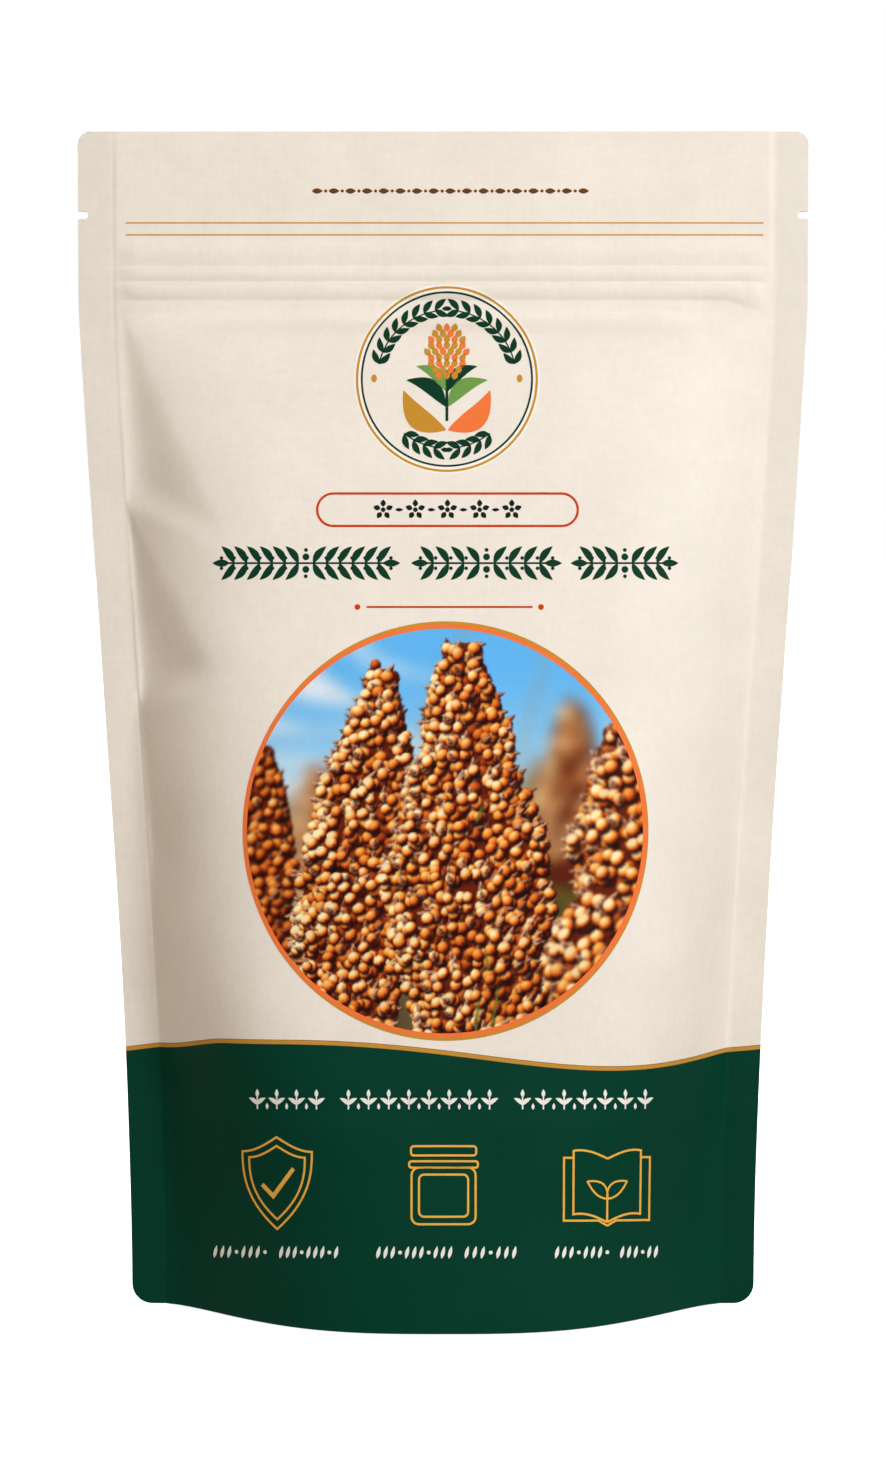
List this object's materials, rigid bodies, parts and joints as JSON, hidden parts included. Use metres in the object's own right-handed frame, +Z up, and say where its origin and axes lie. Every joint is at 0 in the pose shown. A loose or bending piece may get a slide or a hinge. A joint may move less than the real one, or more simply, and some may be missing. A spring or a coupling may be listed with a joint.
{
  "type": "stand-up seed pouch",
  "caption": "Filled stand-up pouch of printed matte film with a press-to-close zip, tear notches, sealed sides and a folded bottom gusset; it holds loose seeds.",
  "frame": {"origin": "on the ground plane, under the middle of the pouch", "axes": "+X to the pouch's right as seen from the front, +Y from the front to the back, +Z up"},
  "size_m": [0.13, 0.0562, 0.21],
  "materials": {
    "printed_film": "matte laminated film, cream above a dark green foot",
    "gusset_film": "matte laminated film, dark green",
    "zip_plastic": "milky extruded polyethylene",
    "sorghum_seed": "dry, slightly waxy grain"
  },
  "bodies": {
    "root": {"front_panel": "printed_film", "back_panel": "printed_film", "bottom_gusset": "gusset_film", "zip_rib_strip": "zip_plastic", "zip_groove_strip": "zip_plastic", "seed_fill": "sorghum_seed"}
  },
  "joints": []
}
